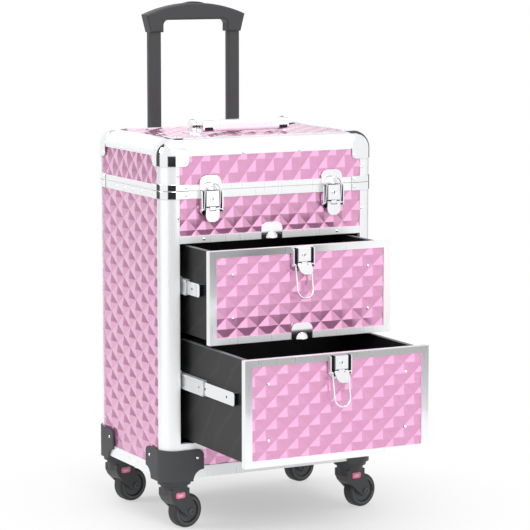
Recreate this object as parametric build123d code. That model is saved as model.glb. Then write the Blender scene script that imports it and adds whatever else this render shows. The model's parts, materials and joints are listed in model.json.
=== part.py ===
from build123d import *
from math import asin, cos, degrees, sin
import os

# Makeup train case on four swivel casters: an aluminium-framed case with a lidded top
# compartment, two drawers on telescopic slides, a carry handle and a telescopic tow handle.
# Millimetres. X to the right, Y to the back, Z up; origin on the floor under the case's centre.

# ---------------------------------------------------------------- driving dimensions
CASE_W = 340.0            # over the corner posts, left to right
CASE_D = 242.0            # over the corner posts, front to back
CASE_Z0 = 77.0            # floor to the underside of the case
EDGE_R = 24.0             # quarter-round edge extrusions
EXTRUSION_T = 2.0         # wall of the edge extrusions
PANEL_T = 6.0             # board with its embossed skin
RECESS = 2.2              # boards sit this far behind the outside of the frame
RAIL_LIP = 1.5            # thickness of the rails' lips over and under the boards
BASE_RAIL_H = 17.1
KICK_H = 23.9             # visible height of the strip under the drawers
LOW_RAIL_H = 10.5
LOW_RAIL_GAP = 2.1        # lower rail to the bottom drawer's front
BOTTOM_FRONT_H = 148.9
DRAWER_GAP = 4.6          # between the two drawer fronts
TOP_FRONT_H = 131.8
TOP_RAIL_GAP = 0.6
TOP_RAIL_H = 10.7
COMPARTMENT_H = 52.6      # visible height of the panel in front of the top compartment
RIM_H = 11.4
SEAM_GAP = 0.4            # between the case and the closed lid
LID_H = 72.8
LID_RIM_H = 8.0

FRONT_SIDE_GAP = 1.6      # drawer front to the corner post, each side
FRONT_T = 8.0             # thickness of the drawer front's board
FRAME_SIDE_W = 11.0       # drawer front's aluminium frame, upright bars
FRAME_RAIL_W = 9.6        # and its top and bottom bars
BOX_WALL = 6.0
BOX_FLOOR = 4.0
BOX_DEPTH = 214.0         # drawer box behind its front
BOX_TOP_DROP = 3.0        # box sides end this far under the top of the front
SLIDE_T = 10.0            # room for a slide between the box and its batten
SLIDE_H = 25.0            # height of the case member
SLIDE_SHEET = 1.0
SLIDE_FIT = 0.5           # gap between nested members, above and below
SLIDE_DROP = 60.0         # slide's centre line under the top of the drawer's front
CASE_MEMBER_L = 210.0
MIDDLE_MEMBER_L = 190.0
DRAWER_MEMBER_L = 182.0
MEMBER_SETBACK = 41.0     # drawer member's front end behind the drawer's front face
MIDDLE_SETBACK = 35.1     # middle member's front end behind the case's front, drawer closed
CASE_MEMBER_SETBACK = 15.0
BATTEN_BACK_GAP = 17.0    # battens end this far in front of the back of the case
MEMBER_CLIP = 3.0
MEMBER_HOLE_R = 1.8
MEMBER_HOLE_IN = 24.0
CARRIER_GAP = 1.6         # between the backs of the case and middle members
CARRIER_FIT = 0.4         # drawer member's flanges to the middle member's back
CARRIER_TRIM = 0.2        # middle member's flanges shorter than the drawer member's
CASE_MEMBER_GAP = 2.0     # case member's flanges to the box's side
TOP_DRAWER_OUT = 92.5     # how far each drawer stands open at rest
BOTTOM_DRAWER_OUT = 201.0

PLATE_T = 1.2             # stamped corner plates
PLATE_FIT = 0.10          # between a bent plate and the frame under it
CORNER_REACH = 38.7       # corner plates, from the case's corner
CAP_DROP = 38.5           # lid corner caps, from the top of the lid
CAP_BITE = 7.0            # how far the caps' edges curve in over the rounded edges
CAP_BITE_R = 12.0
CORNER_ROUND = 8.0
RIVET_R = 2.2
RIVET_H = 0.9
PLATE_RIVET_IN = 5.2      # rivets in corner plates, from the plate's free edge
CAP_RIVET_UP = 5.5        # and above the caps' lower edge
POST_RIVET_IN = 2.7       # rivets in the posts, from the post's inner edge
BOOT_RIVET_IN = 49.5      # rivets in the caster boots, from the case's corner
SCREW_PROUD = 1.7         # drawer screws' heads in front of the board
SCREW_R = 1.6
SCREW_X = 107.9
SCREW_DROP = 34.5         # upper screws under the top of the drawer's front
SCREW_RISE = 36.0         # lower screws above its lower edge

LATCH_PLATE_W = 34.0
LATCH_PLATE_T = 1.4
LATCH_BODY_PROUD = 9.0
LATCH_EAR_T = 1.6
LATCH_EAR_SET = 1.5       # side walls' edge behind the front of the lock's body
LATCH_FOOT_L = 14.0       # back plate under the lever's slot line
LATCH_FOOT_CHAMFER = 8.0
LATCH_TOP_GAP = 1.7       # back plate's top under the top of a drawer's front
LID_LATCH_TOP_GAP = 0.6   # and under the case's rim
LID_LATCH_BODY_H = 22.6
DRAWER_LATCH_BODY_H = 19.5
TONGUE_HALF = 4.5         # tongue that carries the lever's pin
TONGUE_DROP = 3.0         # the pin under the lever's slot line
TONGUE_R = 2.0
LATCH_X = 98.0            # lid latches, each side of the middle
LEVER_L = 21.4
LEVER_T = 1.6
LEVER_PIN_R = 1.2
LOOP_WIRE_R = 1.2
LOOP_HALF_W = 12.3        # to the wire's centre line
LOOP_SIDE_GAP = 0.6       # lock's body to the wire on each side
LOOP_PIVOT_PROUD = 5.0
LOOP_PIVOT_DROP = 4.0     # under the lever's slot line
LID_LOOP_L = 38.0
DRAWER_LOOP_L = 48.0
DRAWER_LEVER_OUT = 35.0   # drawer levers hang open this many degrees
PIN_FIT = 0.05            # radial clearance of every pin and bore
CATCH_H = 20.6
SHELL_H = 24.0
DOME_R = 9.5
DOME_PROUD = 6.6

HINGE_X = 104.0
HINGE_W = 44.0
KNUCKLE_R = 3.5
HINGE_PIN_R = 1.5
HINGE_STANDOFF = 0.4      # knuckle clear of the back of the case
LEAF_H = 24.0

HANDLE_PIVOT_X = 73.5     # middle of each carry handle bracket
HANDLE_PIVOT_Y = -10.0
HANDLE_PIVOT_RISE = 10.4  # above the top of the lid
HANDLE_BAR_HALF = 52.0
HANDLE_BAR_H = 16.0
HANDLE_BAR_DEPTH = 24.0
HANDLE_REACH = 20.0       # pivot to the middle of the bar
HANDLE_ARM_T = 5.0
HANDLE_BRACKET_T = 6.0
HANDLE_PIN_R = 2.5
HANDLE_EDGE_R = 4.5
HANDLE_EAR_R = 9.0
HANDLE_FOOT_HALF = 15.0

TUBE_X = 65.8             # tow handle tubes, each side of the middle
TUBE_W = 20.0
TUBE_D = 13.0
TUBE_WALL = 1.5
TUBE_CHAMFER = 3.0
TUBE_BEHIND = 15.3        # tube's middle behind the back of the case
OUTER_TUBE_WALL = 1.7
TUBE_FIT = 0.3
TUBE_OVERLAP = 65.0       # inner tube still inside the outer tube when fully pulled out
TOW_TRAVEL = 262.0
OUTER_TUBE_LIFT = 8.0     # outer tube's lower end above the underside of the case
OUTER_TUBE_SEAM_DROP = 76.0   # outer tube's upper end under the seam
CLAMP_H = 24.0            # clamps that hold the outer tubes to the back
CLAMP_WALL = 9.0
CLAMP_BACK = 3.0
TOW_REACH = 140.2         # grip's lower ends above the top of the lid
GRIP_DEPTH = 22.0
GRIP_H = 45.4
GRIP_TOP_HALF = 82.6
GRIP_SHOULDER = 26.4      # the grip's shoulders above its lower ends
GRIP_ARCH_Z = 18.2        # underside of the grip above its lower ends
GRIP_INNER_GAP = 2.1      # between the tube and the inside of the grip
BUTTON_HALF = 20.0
BUTTON_TRAVEL = 4.0

WHEEL_D = 50.0
WHEEL_W = 18.0
WHEEL_GAP = 1.0           # each side, wheel to fork
TREAD_ROUND = 4.0
FORK_CHEEK = 5.0
TRAIL = 19.0
CASTER_YAW = 11.5         # all four casters trail this way round from +X at rest
CASTER_INSET = 25.0       # swivel axis from the case's front, back and side faces
NECK_R = 18.0
NECK_Z = 60.4             # top of the fork's neck
SWIVEL_GAP = 0.4
COLLAR_R = 24.0
COLLAR_STEP_R = 19.5
COLLAR_STEP_Z = 67.0
STEM_R = 6.0
STEM_L = 13.0
AXLE_R = 3.0
BRACKET_T = 3.0
BRACKET_FRONT = 59.6      # bracket's reach from the corner along the front and back
BRACKET_SIDE = 62.0       # and along the sides
BRACKET_TOP = 42.0        # above the underside of the case
BRACKET_PLATE = 4.0
RELEASE_W = 16.5
RELEASE_H = 9.0
RELEASE_T = 3.0
RELEASE_PROUD = 1.0
RELEASE_FIT = 0.25
RELEASE_TRAVEL = 1.5

# ---------------------------------------------------------------- places worked out from them
LATCH_BODY_W = 2 * (LOOP_HALF_W - LOOP_WIRE_R - LOOP_SIDE_GAP)
DRAWER_MEMBER_DEPTH = SLIDE_T - 2 * SLIDE_SHEET - CARRIER_GAP - CARRIER_FIT
CARRIER_DEPTH = DRAWER_MEMBER_DEPTH - CARRIER_TRIM
CASE_MEMBER_DEPTH = SLIDE_T - CASE_MEMBER_GAP
HALF_W = CASE_W / 2
HALF_D = CASE_D / 2
POST_X = HALF_W - EDGE_R              # inner edge of a corner post
POST_Y = HALF_D - EDGE_R
BOARD_X = HALF_W - RECESS             # outer face of the side boards
BOARD_Y = HALF_D - RECESS
INSIDE_X = BOARD_X - PANEL_T
INSIDE_Y = BOARD_Y - PANEL_T
KICK_Z1 = CASE_Z0 + BASE_RAIL_H + KICK_H
LOW_RAIL_Z1 = KICK_Z1 + LOW_RAIL_H
BOTTOM_Z0 = LOW_RAIL_Z1 + LOW_RAIL_GAP
BOTTOM_Z1 = BOTTOM_Z0 + BOTTOM_FRONT_H
TOP_Z0 = BOTTOM_Z1 + DRAWER_GAP
TOP_Z1 = TOP_Z0 + TOP_FRONT_H
TOP_RAIL_Z0 = TOP_Z1 + TOP_RAIL_GAP
TOP_RAIL_Z1 = TOP_RAIL_Z0 + TOP_RAIL_H
RIM_Z0 = TOP_RAIL_Z1 + COMPARTMENT_H
CASE_Z1 = RIM_Z0 + RIM_H
LID_Z0 = CASE_Z1 + SEAM_GAP
LID_Z1 = LID_Z0 + LID_H
LID_EDGE_Z = LID_Z1 - EDGE_R          # lower edge of the lid's quarter-round
FRONT_HALF = POST_X - FRONT_SIDE_GAP
BOX_HALF = FRONT_HALF - SLIDE_T
HINGE_Y = HALF_D + HINGE_STANDOFF + KNUCKLE_R
HINGE_Z = CASE_Z1 + SEAM_GAP / 2
TUBE_Y = HALF_D + TUBE_BEHIND
GRIP_Z0 = LID_Z1 + TOW_REACH
OUTER_TUBE_Z1 = CASE_Z1 - OUTER_TUBE_SEAM_DROP
INNER_TUBE_Z0 = OUTER_TUBE_Z1 - TUBE_OVERLAP
AXLE_Z = WHEEL_D / 2
SLOT_HALF = WHEEL_W / 2 + WHEEL_GAP
CHEEK_HALF = SLOT_HALF + FORK_CHEEK


# ---------------------------------------------------------------- helpers
def block(x0, x1, y0, y1, z0, z1):
    """A box between two corners."""
    centre = ((x0 + x1) / 2, (y0 + y1) / 2, (z0 + z1) / 2)
    return Pos(*centre) * Box(abs(x1 - x0), abs(y1 - y0), abs(z1 - z0))


def rod(radius, start, end):
    """A round bar from one point to another."""
    start = Vector(*start)
    axis = Vector(*end) - start
    return Solid.make_cylinder(radius, axis.length, Plane(start, z_dir=axis))


def mirror_x(shape):
    return mirror(shape, about=Plane.YZ)


def mirror_y(shape):
    return mirror(shape, about=Plane.XZ)


def four_corners(shape):
    """The shape made for the back right corner, at all four corners."""
    right = [shape, mirror_y(shape)]
    return right + [mirror_x(item) for item in right]


def both_sides(shape):
    return [shape, mirror_x(shape)]


def solids_of(items):
    found = []
    for item in items:
        found.extend(item.solids())
    return found


def save(name, items):
    if not isinstance(items, list):
        items = [items]
    export_step(Compound(children=solids_of(items)), f"parts/{name}.step")


def rounded_prism(width, depth, radius, z0, z1):
    return Pos(0, 0, z0) * extrude(RectangleRounded(width, depth, radius), z1 - z0)


def rounded_lid(grow):
    """The lid's outside with all its edges rounded, grown by a plate's thickness."""
    width = CASE_W + 2 * grow
    depth = CASE_D + 2 * grow
    body = block(-width / 2, width / 2, -depth / 2, depth / 2, LID_Z0, LID_Z1 + grow)
    edges = body.edges().filter_by(Axis.Z) + body.faces().sort_by(Axis.Z)[-1].edges()
    return fillet(edges, EDGE_R + grow)


def edge_section():
    """Quarter-round extrusion about the origin, with two legs that hold the boards."""
    quarter = Circle(EDGE_R) - Circle(EDGE_R - EXTRUSION_T)
    quarter = quarter & (Pos(EDGE_R / 2, EDGE_R / 2) * Rectangle(EDGE_R, EDGE_R))
    leg = RECESS + PANEL_T
    first = Pos(EXTRUSION_T / 2, EDGE_R - leg / 2) * Rectangle(EXTRUSION_T, leg)
    second = Pos(EDGE_R - leg / 2, EXTRUSION_T / 2) * Rectangle(leg, EXTRUSION_T)
    return quarter + first + second


def make_rivet():
    """A domed head standing on the XY plane."""
    ball_r = (RIVET_R**2 + RIVET_H**2) / (2 * RIVET_H)
    ball = Pos(0, 0, RIVET_H - ball_r) * Sphere(ball_r)
    return ball & block(-RIVET_R, RIVET_R, -RIVET_R, RIVET_R, 0, RIVET_H)


RIVET = make_rivet()


def rivet_at(point, outward):
    plane = Plane(origin=point, z_dir=outward)
    return RIVET.solid().moved(plane.location)


# ---------------------------------------------------------------- case: boards
def make_side_panels():
    z0 = CASE_Z0 + RAIL_LIP
    z1 = CASE_Z1 - RAIL_LIP
    return both_sides(block(INSIDE_X, BOARD_X, -POST_Y, POST_Y, z0, z1))


def make_back_panel():
    return block(-POST_X, POST_X, INSIDE_Y, BOARD_Y, CASE_Z0 + RAIL_LIP, CASE_Z1 - RAIL_LIP)


def make_front_panels():
    kick = block(-POST_X, POST_X, -BOARD_Y, -INSIDE_Y, CASE_Z0 + RAIL_LIP, KICK_Z1)
    upper = block(-POST_X, POST_X, -BOARD_Y, -INSIDE_Y, TOP_RAIL_Z1, CASE_Z1 - RAIL_LIP)
    return [kick, upper]


def inner_board(z0):
    """A level board inside the case, notched round the four corner posts."""
    board = block(-INSIDE_X, INSIDE_X, -INSIDE_Y, INSIDE_Y, z0, z0 + PANEL_T)
    for sx in (-1, 1):
        for sy in (-1, 1):
            corner = block(sx * POST_X, sx * HALF_W, sy * POST_Y, sy * HALF_D, z0, z0 + PANEL_T)
            board = board - corner
    return board


# ---------------------------------------------------------------- case: frame
def make_corner_posts():
    post = extrude(edge_section(), CASE_Z1 - CASE_Z0)
    return four_corners(Pos(POST_X, POST_Y, CASE_Z0) * post)


def rail_ring(z_face0, z_face1, z_lip0, z_lip1):
    """Four L rails between the posts: a face in front of the boards and a lip over their edge."""
    depth = RECESS + PANEL_T + EXTRUSION_T
    back = block(-POST_X, POST_X, BOARD_Y, HALF_D, z_face0, z_face1)
    back = back + block(-POST_X, POST_X, HALF_D - depth, HALF_D, z_lip0, z_lip1)
    side = block(BOARD_X, HALF_W, -POST_Y, POST_Y, z_face0, z_face1)
    side = side + block(HALF_W - depth, HALF_W, -POST_Y, POST_Y, z_lip0, z_lip1)
    return [back, mirror_y(back), side, mirror_x(side)]


def make_case_rails():
    base = rail_ring(CASE_Z0, CASE_Z0 + BASE_RAIL_H, CASE_Z0, CASE_Z0 + RAIL_LIP)
    rim = rail_ring(RIM_Z0, CASE_Z1, CASE_Z1 - RAIL_LIP, CASE_Z1)
    low = block(-POST_X, POST_X, -HALF_D, -INSIDE_Y, KICK_Z1, LOW_RAIL_Z1)
    top = block(-POST_X, POST_X, -HALF_D, -INSIDE_Y, TOP_RAIL_Z0, TOP_RAIL_Z1)
    return base + rim + [low, top]


def corner_band(z0, z1):
    """A stamped plate bent round the back right corner between two heights."""
    outer = rounded_prism(CASE_W + 2 * PLATE_T, CASE_D + 2 * PLATE_T, EDGE_R + PLATE_T, z0, z1)
    fit = PLATE_FIT
    inner = rounded_prism(CASE_W + 2 * fit, CASE_D + 2 * fit, EDGE_R + fit, z0, z1)
    reach = block(HALF_W - CORNER_REACH, HALF_W + 10, HALF_D - CORNER_REACH, HALF_D + 10, z0, z1)
    return (outer - inner) & reach


def make_case_corner_braces():
    return four_corners(corner_band(RIM_Z0, CASE_Z1))


def post_rivets(z):
    """Rivets in the four corner posts at one height, near their front and back inner edges."""
    lean = asin(POST_RIVET_IN / EDGE_R)
    x = POST_X + (EDGE_R + PLATE_FIT) * sin(lean)
    y = POST_Y + (EDGE_R + PLATE_FIT) * cos(lean)
    return [rivet_at((sx * x, sy * y, z), (sx * sin(lean), sy * cos(lean), 0))
            for sx in (-1, 1) for sy in (-1, 1)]


def make_case_rivets():
    brace_x = HALF_W - CORNER_REACH + PLATE_RIVET_IN
    brace_y = HALF_D - CORNER_REACH + PLATE_RIVET_IN
    rim_z = (RIM_Z0 + CASE_Z1) / 2
    base_z = CASE_Z0 + BASE_RAIL_H * 0.65
    boot_z = CASE_Z0 + BRACKET_TOP - 12.0
    top_rail_z = (TOP_RAIL_Z0 + TOP_RAIL_Z1) / 2
    rivets = post_rivets((TOP_RAIL_Z1 + RIM_Z0) / 2)
    for sx in (-1, 1):
        for sy in (-1, 1):
            rivets.append(rivet_at((sx * brace_x, sy * (HALF_D + PLATE_T), rim_z), (0, sy, 0)))
            rivets.append(rivet_at((sx * (HALF_W + PLATE_T), sy * brace_y, rim_z), (sx, 0, 0)))
            x, y = HALF_W - BOOT_RIVET_IN, HALF_D - BOOT_RIVET_IN
            rivets.append(rivet_at((sx * x, sy * (HALF_D + BRACKET_T), boot_z), (0, sy, 0)))
            rivets.append(rivet_at((sx * (HALF_W + BRACKET_T), sy * y, boot_z), (sx, 0, 0)))
        for part in (-0.45, -0.15, 0.15, 0.45):
            rivets.append(rivet_at((sx * HALF_W, part * POST_Y, rim_z), (sx, 0, 0)))
        for part in (-0.3, 0.02, 0.34):
            rivets.append(rivet_at((sx * HALF_W, part * POST_Y, base_z), (sx, 0, 0)))
        rivets.append(rivet_at((sx * SCREW_X, -HALF_D, top_rail_z), (0, -1, 0)))
        for part in (0.25, 0.6):
            rivets.append(rivet_at((sx * POST_X * part, HALF_D, base_z), (0, 1, 0)))
    return rivets


# ---------------------------------------------------------------- lid
def make_lid_top_panel():
    return block(-POST_X, POST_X, -POST_Y, POST_Y, LID_Z1 - RECESS - PANEL_T, LID_Z1 - RECESS)


def make_lid_wall_panels():
    z0 = LID_Z0 + RAIL_LIP
    back = block(-POST_X, POST_X, INSIDE_Y, BOARD_Y, z0, LID_EDGE_Z)
    side = block(INSIDE_X, BOARD_X, -POST_Y, POST_Y, z0, LID_EDGE_Z)
    return [back, mirror_y(back), side, mirror_x(side)]


def make_lid_rails():
    rim = rail_ring(LID_Z0, LID_Z0 + LID_RIM_H, LID_Z0, LID_Z0 + RAIL_LIP)
    front = Plane(origin=(POST_X, -POST_Y, LID_EDGE_Z), x_dir=(0, -1, 0), z_dir=(-1, 0, 0))
    right = Plane(origin=(POST_X, POST_Y, LID_EDGE_Z), x_dir=(1, 0, 0), z_dir=(0, -1, 0))
    front_edge = extrude(front * edge_section(), 2 * POST_X, dir=(-1, 0, 0))
    right_edge = extrude(right * edge_section(), 2 * POST_Y, dir=(0, -1, 0))
    return rim + [front_edge, mirror_y(front_edge), right_edge, mirror_x(right_edge)]


def make_lid_corner_posts():
    post = Pos(0, 0, LID_Z0 - LID_EDGE_Z) * extrude(edge_section(), LID_EDGE_Z - LID_Z0)
    ball = Sphere(EDGE_R) - Sphere(EDGE_R - EXTRUSION_T)
    corner = ball & block(0, EDGE_R, 0, EDGE_R, 0, EDGE_R)
    return four_corners(Pos(POST_X, POST_Y, LID_EDGE_Z) * (post + corner))


def make_lid_corner_plates():
    """Caps over the lid's top corners and bands round its corners at the seam."""
    reach = CORNER_REACH
    keep = block(HALF_W - reach, HALF_W + 30, HALF_D - reach, HALF_D + 30,
                 LID_Z1 - CAP_DROP, LID_Z1 + 30)
    keep = fillet(keep.edges(), CORNER_ROUND)
    out = CAP_BITE_R - CAP_BITE
    x, y, z = HALF_W - reach - out, HALF_D - reach - out, LID_Z1
    keep = keep - rod(CAP_BITE_R, (x, 0, z - HALF_D), (x, HALF_D + 30, z + 30))
    keep = keep - rod(CAP_BITE_R, (0, y, z - HALF_W), (HALF_W + 30, y, z + 30))
    cap = (rounded_lid(PLATE_T) - rounded_lid(PLATE_FIT)) & keep
    band = corner_band(LID_Z0, LID_Z0 + LID_RIM_H + PLATE_T)
    return four_corners(cap) + four_corners(band)


def make_lid_rivets():
    near_x = HALF_W - CORNER_REACH + PLATE_RIVET_IN
    near_y = HALF_D - CORNER_REACH + PLATE_RIVET_IN
    seam_z = LID_Z0 + LID_RIM_H * 0.6
    cap_z = LID_Z1 - CAP_DROP + CAP_RIVET_UP
    edge_z = LID_EDGE_Z + 2.4
    rivets = post_rivets(LID_Z0 + LID_H * 0.3)
    for sx in (-1, 1):
        for sy in (-1, 1):
            for z in (seam_z, cap_z):
                rivets.append(rivet_at((sx * near_x, sy * (HALF_D + PLATE_T), z), (0, sy, 0)))
                rivets.append(rivet_at((sx * (HALF_W + PLATE_T), sy * near_y, z), (sx, 0, 0)))
            top = (sx * near_x, sy * near_y, LID_Z1 + PLATE_T)
            rivets.append(rivet_at(top, (0, 0, 1)))
        rivets.append(rivet_at((sx * POST_X * 0.31, -HALF_D, edge_z), (0, -1, 0)))
        for part in (-0.45, 0.25):
            rivets.append(rivet_at((sx * HALF_W, part * POST_Y, edge_z), (sx, 0, 0)))
    return rivets


# ---------------------------------------------------------------- hinges
def hinge_leaf(x_mid, up):
    """One leaf of a butt hinge on the back; the case leaf has the outer knuckles and the pin."""
    side = 1 if up else -1
    clear = KNUCKLE_R + HINGE_STANDOFF
    third = HINGE_W / 3
    gap = 0.3
    z_near = HINGE_Z + side * clear
    z_far = HINGE_Z + side * (clear + LEAF_H)
    half = HINGE_W / 2
    z0, z1 = sorted((z_near, z_far))
    leaf = block(x_mid - half, x_mid + half, HALF_D, HALF_D + PLATE_T, z0, z1)
    spans = [(-third / 2 + gap, third / 2 - gap)] if up else [(-half, -third / 2), (third / 2, half)]
    for start, end in spans:
        barrel = rod(KNUCKLE_R, (x_mid + start, HINGE_Y, HINGE_Z), (x_mid + end, HINGE_Y, HINGE_Z))
        z_in = HINGE_Z + side * KNUCKLE_R * 0.4
        n0, n1 = sorted((z_in, z_near))
        neck = block(x_mid + start, x_mid + end, HALF_D + 0.25, HALF_D + PLATE_T, n0, n1)
        leaf = leaf + barrel + neck
    if up:
        hole = HINGE_PIN_R + PIN_FIT
        return leaf - rod(hole, (x_mid - half, HINGE_Y, HINGE_Z), (x_mid + half, HINGE_Y, HINGE_Z))
    return leaf + rod(HINGE_PIN_R, (x_mid - half, HINGE_Y, HINGE_Z), (x_mid + half, HINGE_Y, HINGE_Z))


# ---------------------------------------------------------------- latches
class Latch:
    """Where one draw latch sits: middle of its plate's top edge on the face behind it."""

    def __init__(self, x, face_y, z_top, body_h, loop_l, loop_up, lever_out):
        self.x = x
        self.face_y = face_y
        self.z_top = z_top
        self.line_z = z_top - body_h
        self.plate_z0 = self.line_z - LATCH_FOOT_L
        self.pivot_y = face_y - LOOP_PIVOT_PROUD
        self.pivot_z = self.line_z - LOOP_PIVOT_DROP
        self.lever_y = face_y - LATCH_BODY_PROUD + TONGUE_R + 0.6
        self.lever_z = self.line_z - TONGUE_DROP
        self.loop_l = loop_l
        self.loop_up = loop_up
        self.lever_out = lever_out


def latch_housing(latch):
    """Back plate with turned-up side walls, and the lock's body above the lever."""
    x, y, half = latch.x, latch.face_y, LATCH_PLATE_W / 2
    y_plate = y - LATCH_PLATE_T
    y_wall = y - LATCH_BODY_PROUD + LATCH_EAR_SET
    plate = block(x - half, x + half, y_plate, y, latch.plate_z0, latch.z_top)
    low = plate.edges().filter_by(Axis.Y).group_by(Axis.Z)[0]
    housing = chamfer(low, LATCH_FOOT_CHAMFER)
    hole_r = LOOP_WIRE_R + PIN_FIT
    for side in (-1, 1):
        x_in = x + side * (half - LATCH_EAR_T)
        x_out = x + side * half
        wall = block(x_in, x_out, y_wall, y_plate, latch.pivot_z - 4.0, latch.z_top)
        wall = fillet(wall.edges().filter_by(Axis.X).group_by(Axis.Y)[0], 3.0)
        hole = rod(hole_r, (x_in, latch.pivot_y, latch.pivot_z), (x_out, latch.pivot_y, latch.pivot_z))
        housing = housing + (wall - hole)
    body_half = LATCH_BODY_W / 2
    body = block(x - body_half, x + body_half, y - LATCH_BODY_PROUD, y_plate, latch.line_z, latch.z_top)
    body = fillet(body.faces().sort_by(Axis.Y)[0].edges(), 1.2)
    y, z = latch.lever_y, latch.lever_z
    tongue = block(x - TONGUE_HALF, x + TONGUE_HALF, y - TONGUE_R, y_plate, z - TONGUE_R, latch.line_z)
    pin = rod(LEVER_PIN_R + PIN_FIT, (x - TONGUE_HALF, y, z), (x + TONGUE_HALF, y, z))
    return housing + body + (tongue - pin)


def latch_lever(latch):
    """Finger tab hung on the tongue by two knuckles and a cross pin."""
    x, y, z = latch.x, latch.lever_y, latch.lever_z
    half = LATCH_BODY_W / 2
    inner = TONGUE_HALF + 0.7
    y0 = y - TONGUE_R
    tab = block(x - half, x + half, y0, y0 + LEVER_T, z - LEVER_L + TONGUE_DROP, z - 1.0)
    low = tab.edges().filter_by(Axis.Y).group_by(Axis.Z)[0]
    tab = fillet(low, half * 0.8)
    notch = block(x - inner, x + inner, y - TONGUE_DROP, y + TONGUE_DROP, z - TONGUE_DROP, z + TONGUE_DROP)
    lever = tab - notch
    for side in (-1, 1):
        lever = lever + rod(TONGUE_R, (x + side * inner, y, z), (x + side * half, y, z))
    lever = lever + rod(LEVER_PIN_R, (x - half, y, z), (x + half, y, z))
    turn = Axis((x, y, z), (-1, 0, 0))
    return lever.rotate(turn, latch.lever_out)


def latch_loop(latch):
    """Wire bail with its two ends turned out into the side walls."""
    x, y, z = latch.x, latch.pivot_y, latch.pivot_z
    up = 1 if latch.loop_up else -1
    bend = 2.5
    straight = latch.loop_l - LOOP_HALF_W
    foot_l = LATCH_PLATE_W / 2 - 0.4 - LOOP_HALF_W
    wire = Polyline((LOOP_HALF_W + foot_l, 0), (LOOP_HALF_W, 0), (LOOP_HALF_W, up * straight))
    arch = ThreePointArc((LOOP_HALF_W, up * straight), (0, up * latch.loop_l), (-LOOP_HALF_W, up * straight))
    other = Polyline((-LOOP_HALF_W, up * straight), (-LOOP_HALF_W, 0), (-LOOP_HALF_W - foot_l, 0))
    plane = Plane(origin=(x, y, z), x_dir=(1, 0, 0), z_dir=(0, -1, 0))
    path = plane * (wire + arch + other)
    start = plane.from_local_coords(Vector(LOOP_HALF_W + foot_l, 0, 0))
    section = Plane(origin=start, z_dir=(-1, 0, 0)) * Circle(LOOP_WIRE_R)
    loop = sweep(section, path=path, transition=Transition.ROUND)
    lean = degrees(asin(4.7 / latch.loop_l)) if latch.loop_up else 10.0
    return loop.rotate(Axis((x, y, z), (up, 0, 0)), lean)


def dome_hook(x, face_y, z):
    """Half-dome over which a bail's arch lies, flat side down."""
    ball_r = (DOME_R**2 + DOME_PROUD**2) / (2 * DOME_PROUD)
    ball = Pos(x, face_y - DOME_PROUD + ball_r, z) * Sphere(ball_r)
    keep = block(x - DOME_R, x + DOME_R, face_y - DOME_PROUD, face_y, z, z + DOME_R)
    return ball & keep


def lid_catch(x):
    """Plate with an arched top and a half-dome hook, on the lid over a latch."""
    half = LATCH_PLATE_W / 2
    z0 = LID_Z0 + 0.3
    plate = block(x - half, x + half, -HALF_D - LATCH_PLATE_T, -HALF_D, z0, z0 + CATCH_H)
    high = plate.edges().filter_by(Axis.Y).group_by(Axis.Z)[-1]
    plate = fillet(high, 11.0)
    return plate + dome_hook(x, -HALF_D - LATCH_PLATE_T / 2, z0 + 0.3)


def shell_catch(face_y, z0):
    """Small plate with a half-dome, over which a drawer's bail hooks."""
    half = LATCH_PLATE_W / 2
    plate = block(-half, half, face_y - LATCH_PLATE_T, face_y, z0, z0 + SHELL_H)
    high = plate.edges().filter_by(Axis.Y).group_by(Axis.Z)[-1]
    plate = fillet(high, 10.0)
    return plate + dome_hook(0, face_y - LATCH_PLATE_T / 2, z0 + 1.0)


# ---------------------------------------------------------------- drawers and slides
class Drawer:
    """One drawer's heights and how far it stands out at rest."""

    def __init__(self, name, z0, z1, out):
        self.name = name
        self.z0 = z0
        self.z1 = z1
        self.out = out
        self.face_y = -HALF_D - out
        self.box_y0 = self.face_y + RECESS + FRONT_T
        self.slide_z = z1 - SLIDE_DROP


TOP = Drawer("top_drawer", TOP_Z0, TOP_Z1, TOP_DRAWER_OUT)
BOTTOM = Drawer("bottom_drawer", BOTTOM_Z0, BOTTOM_Z1, BOTTOM_DRAWER_OUT)


def drawer_panel(drawer):
    y0 = drawer.face_y + RECESS
    inset = RAIL_LIP
    return block(-FRONT_HALF + inset, FRONT_HALF - inset, y0, y0 + FRONT_T,
                 drawer.z0 + inset, drawer.z1 - inset)


def drawer_frame(drawer):
    """Four L bars, mitred at the corners, round the edge of the drawer's front."""
    y0 = drawer.face_y
    y1 = drawer.face_y + RECESS + FRONT_T
    z_mid = (drawer.z0 + drawer.z1) / 2
    half_h = (drawer.z1 - drawer.z0) / 2
    outer = block(-FRONT_HALF, FRONT_HALF, y0, y1, drawer.z0, drawer.z1)
    window = block(-FRONT_HALF + FRAME_SIDE_W, FRONT_HALF - FRAME_SIDE_W, y0, y0 + RECESS,
                   drawer.z0 + FRAME_RAIL_W, drawer.z1 - FRAME_RAIL_W)
    board = block(-FRONT_HALF + RAIL_LIP, FRONT_HALF - RAIL_LIP, y0 + RECESS, y1,
                  drawer.z0 + RAIL_LIP, drawer.z1 - RAIL_LIP)
    ring = outer - window - board
    slope = FRAME_RAIL_W / FRAME_SIDE_W
    run = half_h / slope
    top = Polyline((-FRONT_HALF, half_h), (FRONT_HALF, half_h), (FRONT_HALF - run, 0),
                   (-FRONT_HALF + run, 0), close=True)
    plane = Plane(origin=(0, y0, z_mid), x_dir=(1, 0, 0), z_dir=(0, -1, 0))
    wedge = extrude(plane * make_face(top), y1 - y0, dir=(0, 1, 0))
    upper = ring & wedge
    about = Plane(origin=(0, 0, z_mid), z_dir=(0, 0, 1))
    lower = mirror(upper, about=about)
    sides = ring - wedge - mirror(wedge, about=about)
    return [upper, lower, sides]


def box_heights(drawer):
    return drawer.z0 + BOX_TOP_DROP, drawer.z1 - BOX_TOP_DROP


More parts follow.
